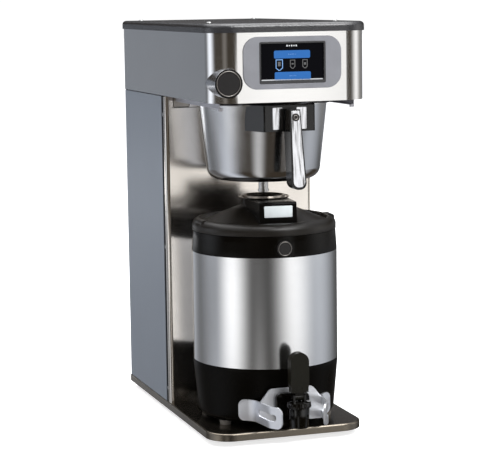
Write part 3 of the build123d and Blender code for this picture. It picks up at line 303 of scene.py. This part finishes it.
def rounded_rect(w, h, r):
    """Outline of a rectangle with round corners, about its middle."""
    steps = 6
    points = []
    for cx, cz, start in ((w / 2 - r, h / 2 - r, 0), (r - w / 2, h / 2 - r, 90),
                          (r - w / 2, r - h / 2, 180), (w / 2 - r, r - h / 2, 270)):
        for step in range(steps + 1):
            a = math.radians(start + 90 * step / steps)
            points.append((cx + r * math.cos(a), cz + r * math.sin(a)))
    return points


def slab(name, outline, x, z, y_front, depth, material, body):
    """Thin closed plate facing the operator from a list of X, Z points."""
    count = len(outline)
    verts = [(x + px, y_front, z + pz) for px, pz in outline]
    verts += [(x + px, y_front + depth, z + pz) for px, pz in outline]
    faces = [tuple(range(count)), tuple(reversed(range(count, 2 * count)))]
    for i in range(count):
        j = (i + 1) % count
        faces.append((j, i, i + count, j + count))
    return add_mesh(name, verts, faces, material, body)


# What the screen shows, and a painted highlight on its glass: places and sizes are in millimetres from the
# middle of the glass
glass_low, glass_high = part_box("screen_glass")
glass_x = (glass_low.x + glass_high.x) / 2
glass_z = (glass_low.z + glass_high.z) / 2
SHOWN_DEPTH = 0.1 * MM
shown_y = glass_low.y - 0.12 * MM
BUTTON_WIDTH = 66
BUTTON_CORNER = 2.6
TOP_BUTTON_Z, BOTTOM_BUTTON_Z = 12.8, -24.2
DASH_HEIGHT = 1.8
DASH_WIDTHS = (2.2, 1.6, 2.0, 1.4, 1.8)


def shown(name, width, height, corner, x, z, material):
    """Flat rounded shape on the screen."""
    outline = [(px * MM, pz * MM) for px, pz in rounded_rect(width, height, corner)]
    slab(name, outline, glass_x + x * MM, glass_z + z * MM, shown_y, SHOWN_DEPTH, material, "brewer")


shown("screen_button_top", BUTTON_WIDTH, 13.6, BUTTON_CORNER, 0.0, TOP_BUTTON_Z, BLUE)
shown("screen_button_bottom", BUTTON_WIDTH, 14.0, BUTTON_CORNER, 1.0, BOTTOM_BUTTON_Z, BLUE)
for step, width in enumerate(DASH_WIDTHS):
    shown(f"screen_top_dash_{step}", width, DASH_HEIGHT, 0.5, -6 + 3.0 * step, TOP_BUTTON_Z + 0.1, PALE_BLUE)
    shown(f"screen_bottom_dash_{step}", width * 0.8, DASH_HEIGHT, 0.4, -4 + 2.6 * step, BOTTOM_BUTTON_Z + 0.1,
          PALE_BLUE)
for step in range(5):
    height = 2.2 if step % 2 else 3.0
    shown(f"screen_status_{step}", 2.4, height, 0.8, -9 + 4.2 * step, 27.6, WHITE)


def cup_icon(name, x, z, w, h, material):
    """Outline of a drip cup with a spout, drawn on the screen."""
    line = 1.3
    side = w / 2
    top = h / 2
    shoulder = -h / 4
    spout = 0.6 - h / 2
    outer = [(-side, top), (side, top), (side, shoulder), (line, spout), (-line, spout), (-side, shoulder)]
    inner = [(line - side, top - line), (side - line, top - line), (side - line, shoulder + line * 0.4),
             (line * 0.6, spout + line), (-line * 0.6, spout + line), (line - side, shoulder + line * 0.4)]
    count = len(outer)
    verts = []
    for y in (shown_y, shown_y + SHOWN_DEPTH):
        for px, pz in outer + inner:
            verts.append((glass_x + (x + px) * MM, y, glass_z + (z + pz) * MM))
    faces = []
    total = 2 * count
    for i in range(count):
        j = (i + 1) % count
        faces.append((i, j, count + j, count + i))
        faces.append((total + i, total + count + i, total + count + j, total + j))
        faces.append((i, total + i, total + j, j))
        faces.append((count + i, count + j, total + count + j, total + count + i))
    add_mesh(name, verts, faces, material, "brewer")


ICON_X = (-23.5, 0.8, 23.5)
cup_icon("screen_icon_selected", ICON_X[0], -5.6, 13, 20, PALE_BLUE)
cup_icon("screen_icon_second", ICON_X[1], -4.6, 9.5, 16, DIM)
cup_icon("screen_icon_third", ICON_X[2], -4.4, 9.5, 16, DIM)
shown("screen_icon_bar_0", 5, 7.5, 0.8, ICON_X[0], -3.4, DIM)
shown("screen_icon_bar_1", 4, 2.4, 0.5, ICON_X[1], -3.6, DIM)
shown("screen_icon_bar_2", 4, 4.0, 0.5, ICON_X[2], -3.6, DIM)
# painted highlight: a glowing white strip stands in for the glint along the lower edge of the glass
shown("screen_lower_painted_glint", 112, 1.6, 0.4, 0.0, -30.6, WHITE)


def ring(name, centre, radius, width, height, lean, material, body):
    """Raised round ring facing the operator, leaning back by the given angle in degrees."""
    profile = [(-0.5, 0.0), (-0.38, 0.7), (0.0, 1.0), (0.38, 0.7), (0.5, 0.0), (0.0, -0.4)]
    turns = 72
    tilt = Matrix.Rotation(math.radians(-lean), 4, "X")
    verts = []
    for step in range(turns):
        a = 2 * math.pi * step / turns
        for across, up in profile:
            r = radius + across * width
            spot = Vector((r * math.cos(a), -up * height, r * math.sin(a)))
            verts.append(Vector(centre) + tilt @ spot)
    count = len(profile)
    faces = []
    for step in range(turns):
        for k in range(count):
            a = step * count + k
            b = step * count + (k + 1) % count
            after = ((step + 1) % turns) * count
            faces.append((a, b, after + (k + 1) % count, after + k))
    return add_mesh(name, verts, faces, material, body, smooth=True)


def middle(node):
    low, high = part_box(node)
    return (low + high) / 2


def front_of(node):
    """Point on the front face of a node, in the middle of its width and height."""
    low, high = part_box(node)
    return Vector(((low.x + high.x) / 2, low.y, (low.z + high.z) / 2))


def radius_of(node):
    """Radius of a round node that faces the operator."""
    low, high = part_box(node)
    return (high.z - low.z) / 2


def badge_rings():
    """Rings on the badge post and on the collar's badge."""
    front = front_of("badge_face")
    face_r = radius_of("badge_face")
    post_r = radius_of("badge_post")
    post_front = (front.x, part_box("badge_post")[0].y, front.z)
    ring("badge_ring", front, face_r - 1.3 * MM, 1.6 * MM, 0.35 * MM, 0, RING_GREY, "brewer")
    ring("badge_rim", post_front, (post_r + face_r) / 2, post_r - face_r, 0.25 * MM, 0, SEAM_AND_SHADE_BLACK, "brewer")
    collar_r = radius_of("collar_badge") - 2.2 * MM
    ring("collar_badge_ring", front_of("collar_badge"), collar_r, 1.2 * MM, 0.4 * MM, 0, RING_GREY, "server")


HANDLE_LEAN = 8.1       # degrees that the front of the grip leans out towards its lower end


def button_ring():
    """Ring on the button at the top of the grip, leaning as the grip does."""
    low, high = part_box("handle_button")
    radius = (high.x - low.x) / 2
    front = front_of("handle_button")
    front.y += radius * math.sin(math.radians(HANDLE_LEAN))
    ring("handle_button_ring", front, radius * 0.52, 1.2 * MM, 0.4 * MM, HANDLE_LEAN, RING_GREY, "funnel")


badge_rings()
button_ring()


def bar(name, low, high, material, body):
    """Flat strip between two corners, with its long outer edges chamfered."""
    x0, y0, z0 = low
    x1, y1, z1 = high
    cut = min(x1 - x0, y1 - y0, z1 - z0) * 0.25
    verts = []
    for x, inset in ((x0, cut), (x0 + cut, 0), (x1 - cut, 0), (x1, cut)):
        for y, z in ((y0 + inset, z0 + inset), (y1 - inset, z0 + inset), (y1 - inset, z1 - inset),
                     (y0 + inset, z1 - inset)):
            verts.append((x, y, z))
    faces = [(3, 2, 1, 0), (12, 13, 14, 15)]
    for layer in range(3):
        for k in range(4):
            a = layer * 4 + k
            b = layer * 4 + (k + 1) % 4
            faces.append((a, b, b + 4, a + 4))
    return add_mesh(name, verts, faces, material, body)


def seam_shade_strips():
    """Black strips in the grooves between the column's front cover and its side panels: painted shade for the
    deep recess there.
    """
    width = 12.0 * MM
    depth = 2.0 * MM
    sunk = 0.9 * MM
    clear = 0.1 * MM
    for side_name, sign in (("left", -1), ("right", 1)):
        low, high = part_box("trunk_side_" + side_name)
        outer_x = low.x if sign < 0 else high.x
        xs = sorted((outer_x - sign * sunk, outer_x - sign * depth))
        # painted shade: a black strip fills the recessed groove beside the front cover
        bar("seam_shade_strip_" + side_name, (xs[0], low.y - width + clear, low.z), (xs[1], low.y - clear, high.z),
            SEAM_AND_SHADE_BLACK, "brewer")


def cover_lines():
    """Gasket behind the small hatch, and the line across the front cover below it."""
    trunk_low, trunk_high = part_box("trunk_front_cover")
    hatch_low, hatch_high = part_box("front_hatch")
    edge = 1.0 * MM
    behind = 0.4 * MM
    width = hatch_high.x - hatch_low.x + 2 * edge
    height = hatch_high.z - hatch_low.z + 2 * edge
    outline = rounded_rect(width, height, 2.5 * MM)
    slab("hatch_gasket", outline, middle("front_hatch").x, middle("front_hatch").z, hatch_low.y + behind,
         trunk_low.y - hatch_low.y - behind, SEAM_AND_SHADE_BLACK, "brewer")
    inset = 12.0 * MM
    bar("cover_seam", (trunk_low.x + inset, trunk_low.y - 0.15 * MM, hatch_low.z - 2.2 * MM),
        (trunk_high.x - inset, trunk_low.y, hatch_low.z - 1.2 * MM), SEAM_AND_SHADE_BLACK, "brewer")


seam_shade_strips()
cover_lines()


OUTSIDE = 0.5       # metres from a node's axis that are sure to be outside it


def wall_point(node, height, direction):
    """Point where a level line from outside first meets a node's surface."""
    obj = nodes[node]
    axis = middle(node)
    far = Vector((axis.x, axis.y, height)) + direction * OUTSIDE
    inverse = obj.matrix_world.inverted()
    start = inverse @ far
    way = (inverse.to_3x3() @ -direction).normalized()
    hit, spot, _, _ = obj.ray_cast(start, way)
    return obj.matrix_world @ spot if hit else None


def funnel_weld():
    """Narrow upright weld line down the left side of the cup."""
    low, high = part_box("funnel_body")
    left = Vector((-1, 0, 0))
    half = 0.5 * MM
    proud = 0.25 * MM
    sunk = 0.1 * MM
    above_floor = 3 * MM
    below_rim = 9 * MM
    count = 40
    spots = []
    for step in range(count + 1):
        height = low.z + above_floor + (high.z - low.z - above_floor - below_rim) * step / count
        spot = wall_point("funnel_body", height, left)
        if spot:
            spots.append(spot)
    verts = []
    for spot in spots:
        verts += [spot + Vector((sunk, -half, 0)), spot + Vector((-proud, -half * 0.4, 0)),
                  spot + Vector((-proud, half * 0.4, 0)), spot + Vector((sunk, half, 0))]
    faces = [(3, 2, 1, 0)]
    for row in range(len(spots) - 1):
        for k in range(4):
            a = row * 4 + k
            b = row * 4 + (k + 1) % 4
            faces.append((a, b, b + 4, a + 4))
    last = (len(spots) - 1) * 4
    faces.append((last, last + 1, last + 2, last + 3))
    add_mesh("funnel_weld", verts, faces, RING_GREY, "funnel", smooth=True)


funnel_weld()

# ---------------------------------------------------------------- floor, light and camera
scene = bpy.context.scene


def white_floor():
    """Large white floor with a little light of its own, so that it runs into the white background."""
    half = 30
    corners = [(-half, -half, 0), (half, -half, 0), (half, half, 0), (-half, half, 0)]
    mesh = bpy.data.meshes.new("floor")
    mesh.from_pydata(corners, [], [(0, 1, 2, 3)])
    floor = bpy.data.objects.new("floor", mesh)
    scene.collection.objects.link(floor)
    mat, _, shader = tree("floor_white")
    shader.inputs["Base Color"].default_value = (0.94, 0.94, 0.94, 1)
    shader.inputs["Roughness"].default_value = 0.9
    shader.inputs["Specular IOR Level"].default_value = 0.0
    shader.inputs["Emission Color"].default_value = (1, 1, 1, 1)
    shader.inputs["Emission Strength"].default_value = 0.72
    mesh.materials.append(mat)
    floor.visible_glossy = False


white_floor()

# Soft light panels round the set: azimuth of the middle from the operator's side towards +X, half width in
# degrees, brightness and tint. The world holds the middle and low ones, and the reflector band the others.
COOL = (0.93, 0.98, 1.07)
BLUISH = (0.86, 0.98, 1.16)
PLAIN = (1.0, 1.0, 1.0)
WARM = (1.04, 1.0, 0.96)
MIDDLE_PANELS = [(-70, 34, 1.35, PLAIN), (-105, 62, 0.22, COOL), (28, 42, 1.20, PLAIN), (76, 60, 0.50, COOL),
                 (180, 42, 0.42, COOL)]
LOW_PANELS = [(-100, 42, 0.68, COOL), (-28, 16, 0.60, PLAIN), (80, 30, 0.30, COOL), (180, 70, 0.16, COOL)]
HEAD_PANELS = [(-112, 30, 1.20, COOL), (-38, 16, 0.15, WARM), (19, 12, 1.32, PLAIN), (73, 30, 0.85, PLAIN),
               (95, 60, 0.25, PLAIN), (180, 80, 0.24, BLUISH)]
FOOT_PANELS = [(-162, 18, 1.6, PLAIN)]
MIDDLE_BASE = (0.09, 0.09, 0.09)
LOW_BASE = (0.045, 0.035, 0.025)
HEAD_BASE = (0.045, 0.036, 0.026)
BAND_RADIUS = 4.0
BAND_MIDDLE = (0, -0.1285, 0)           # on the server's axis
BAND_BOTTOM, BAND_TOP = -0.03, 2.0
FOOT_TO_UPPER = (0.10, 0.13)            # heights in metres between which the parts of the band meet
UPPER_TO_DARK = (0.85, 1.00)
OVERHEAD = (0.60, 0.60, 0.62, 1)
LOW_TO_LEVEL = (-0.27, -0.19)           # heights on the unit sphere between which the world's parts meet
LEVEL_TO_OVERHEAD = (0.25, 0.80)


def math_node(nt, operation, *values):
    """Math node whose inputs are sockets or plain numbers."""
    node = nt.nodes.new("ShaderNodeMath")
    node.operation = operation
    for socket, value in zip(node.inputs, values):
        if isinstance(value, (int, float)):
            socket.default_value = value
        else:
            nt.links.new(value, socket)
    return node.outputs["Value"]


def azimuth_degrees(nt, vector):
    """Azimuth from the operator's side towards +X, and the height part of the vector."""
    split = nt.nodes.new("ShaderNodeSeparateXYZ")
    nt.links.new(vector, split.inputs["Vector"])
    front = math_node(nt, "MULTIPLY", split.outputs["Y"], -1.0)
    turn = math_node(nt, "ARCTAN2", split.outputs["X"], front)
    return math_node(nt, "DEGREES", turn), split.outputs["Z"]


def panel_light(nt, azimuth, panels, base):
    """Soft-edged panels of light on an even base, as a colour."""
    total = None
    for centre, half_width, level, tint in panels:
        offset = math_node(nt, "SUBTRACT", azimuth, float(centre))
        distance = math_node(nt, "ABSOLUTE", math_node(nt, "WRAP", offset, 180.0, -180.0))
        share = fade(nt, distance, half_width, 0.0)
        lit = nt.nodes.new("ShaderNodeVectorMath")
        lit.operation = "SCALE"
        lit.inputs[0].default_value = [level * part for part in tint]
        nt.links.new(share, lit.inputs["Scale"])
        both = nt.nodes.new("ShaderNodeVectorMath")
        both.operation = "ADD"
        nt.links.new(lit.outputs["Vector"], both.inputs[0])
        if total is None:
            both.inputs[1].default_value = base
        else:
            nt.links.new(total, both.inputs[1])
        total = both.outputs["Vector"]
    return total


def fade(nt, value, low, high):
    """Smooth step from 0 at low to 1 at high."""
    node = nt.nodes.new("ShaderNodeMapRange")
    node.interpolation_type = "SMOOTHSTEP"
    node.inputs["From Min"].default_value = low
    node.inputs["From Max"].default_value = high
    nt.links.new(value, node.inputs["Value"])
    return node.outputs["Result"]


def mix_colors(nt, fac, a, b):
    """Mix of two colours, each a socket or a constant."""
    mix = nt.nodes.new("ShaderNodeMix")
    mix.data_type = "RGBA"
    nt.links.new(fac, mix.inputs["Factor"])
    for socket, value in ((mix.inputs[6], a), (mix.inputs[7], b)):
        if isinstance(value, tuple):
            socket.default_value = value
        else:
            nt.links.new(value, socket)
    return mix.outputs[2]


def room_light():
    """World: the panels for light and reflections, plain white behind the object."""
    world = bpy.data.worlds.new("studio")
    scene.world = world
    world.use_nodes = True
    nt = world.node_tree
    background = nt.nodes["Background"]
    output = nt.nodes["World Output"]
    tex = nt.nodes.new("ShaderNodeTexCoord")
    azimuth, up = azimuth_degrees(nt, tex.outputs["Generated"])
    level = panel_light(nt, azimuth, MIDDLE_PANELS, MIDDLE_BASE)
    low = panel_light(nt, azimuth, LOW_PANELS, LOW_BASE)
    sides = mix_colors(nt, fade(nt, up, *LOW_TO_LEVEL), low, level)
    whole = mix_colors(nt, fade(nt, up, *LEVEL_TO_OVERHEAD), sides, OVERHEAD)
    nt.links.new(whole, background.inputs["Color"])
    white = nt.nodes.new("ShaderNodeBackground")
    white.inputs["Color"].default_value = (1, 1, 1, 1)
    white.inputs["Strength"].default_value = 1.05
    path = nt.nodes.new("ShaderNodeLightPath")
    choose = nt.nodes.new("ShaderNodeMixShader")
    nt.links.new(path.outputs["Is Camera Ray"], choose.inputs["Fac"])
    nt.links.new(background.outputs["Background"], choose.inputs[1])
    nt.links.new(white.outputs["Background"], choose.inputs[2])
    nt.links.new(choose.outputs["Shader"], output.inputs["Surface"])


def reflector_band():
    """Wide band of studio reflectors round the server's axis, seen only in glossy surfaces.

    The foot panels light the foot of the band. Its top is dark at the back.
    """
    count = 120
    verts = []
    for z in (BAND_BOTTOM, BAND_TOP):
        for i in range(count):
            a = 2 * math.pi * i / count
            verts.append((BAND_RADIUS * math.cos(a), BAND_RADIUS * math.sin(a), z))
    faces = [(i, (i + 1) % count, count + (i + 1) % count, count + i) for i in range(count)]
    mesh = bpy.data.meshes.new("reflectors")
    mesh.from_pydata(verts, [], faces)
    mat = bpy.data.materials.new("reflectors")
    mat.use_nodes = True
    nt = mat.node_tree
    nt.nodes.clear()
    tex = nt.nodes.new("ShaderNodeTexCoord")
    azimuth, up = azimuth_degrees(nt, tex.outputs["Object"])
    emission = nt.nodes.new("ShaderNodeEmission")
    upper = panel_light(nt, azimuth, HEAD_PANELS, HEAD_BASE)
    lower = panel_light(nt, azimuth, HEAD_PANELS + FOOT_PANELS, HEAD_BASE)
    sides = mix_colors(nt, fade(nt, up, *FOOT_TO_UPPER), lower, upper)
    behind = fade(nt, math_node(nt, "ABSOLUTE", azimuth), 90.0, 120.0)
    unlit = math_node(nt, "MULTIPLY", behind, fade(nt, up, *UPPER_TO_DARK))
    whole = mix_colors(nt, unlit, sides, (*HEAD_BASE, 1))
    nt.links.new(whole, emission.inputs["Color"])
    output = nt.nodes.new("ShaderNodeOutputMaterial")
    nt.links.new(emission.outputs["Emission"], output.inputs["Surface"])
    mat.cycles.emission_sampling = "NONE"
    mesh.materials.append(mat)
    obj = bpy.data.objects.new("reflectors", mesh)
    obj.location = BAND_MIDDLE
    scene.collection.objects.link(obj)
    obj.visible_camera = False
    obj.visible_diffuse = False
    obj.visible_transmission = False
    obj.visible_shadow = False


room_light()
reflector_band()


def softbox(name, place, target, width, height, power):
    """Rectangular lamp that points at a target."""
    data = bpy.data.lights.new(name, "AREA")
    data.shape = "RECTANGLE"
    data.size = width
    data.size_y = height
    data.energy = power
    obj = bpy.data.objects.new(name, data)
    obj.location = place
    obj.rotation_euler = (Vector(target) - Vector(place)).to_track_quat("-Z", "Y").to_euler()
    scene.collection.objects.link(obj)


softbox("key_above", (0.3, -0.6, 2.6), (0, 0, 0.3), 2.4, 2.4, 40)
softbox("front_high", (0.79, -2.42, 2.3), (0, 0, 0.7), 1.7, 1.1, 45)
softbox("floor_fill", (-0.5, 0.5, 3.2), (0, 0, 0), 4.0, 4.0, 90)

# Camera: angles in degrees, seen from the target; distances in metres
CAMERA_AZIMUTH = -18.25
CAMERA_ELEVATION = 7.01
CAMERA_ROLL = -0.81
CAMERA_DISTANCE = 3.374
CAMERA_TARGET = Vector((0, 0, 0.379))
LENS_MM = 134.25
SENSOR_MM = 36.0
SHIFT_X, SHIFT_Y = -0.0056, -0.0298


def place_camera():
    azimuth = math.radians(CAMERA_AZIMUTH)
    elevation = math.radians(CAMERA_ELEVATION)
    roll = math.radians(CAMERA_ROLL)
    level = math.cos(elevation)
    toward = Vector((math.sin(azimuth) * level, -math.cos(azimuth) * level, math.sin(elevation)))
    flat_right = (-toward).cross(Vector((0, 0, 1))).normalized()
    flat_above = flat_right.cross(-toward)
    right = flat_right * math.cos(roll) + flat_above * math.sin(roll)
    above = flat_above * math.cos(roll) - flat_right * math.sin(roll)
    place = CAMERA_TARGET + toward * CAMERA_DISTANCE
    data = bpy.data.cameras.new("camera")
    data.sensor_fit = "HORIZONTAL"
    data.sensor_width = SENSOR_MM
    data.lens = LENS_MM
    data.shift_x = SHIFT_X
    data.shift_y = SHIFT_Y
    data.clip_end = 100
    camera = bpy.data.objects.new("camera", data)
    camera.matrix_world = Matrix((
        (right.x, above.x, toward.x, place.x),
        (right.y, above.y, toward.y, place.y),
        (right.z, above.z, toward.z, place.z),
        (0, 0, 0, 1)))
    scene.collection.objects.link(camera)
    scene.camera = camera


place_camera()
scene.view_settings.view_transform = "Standard"
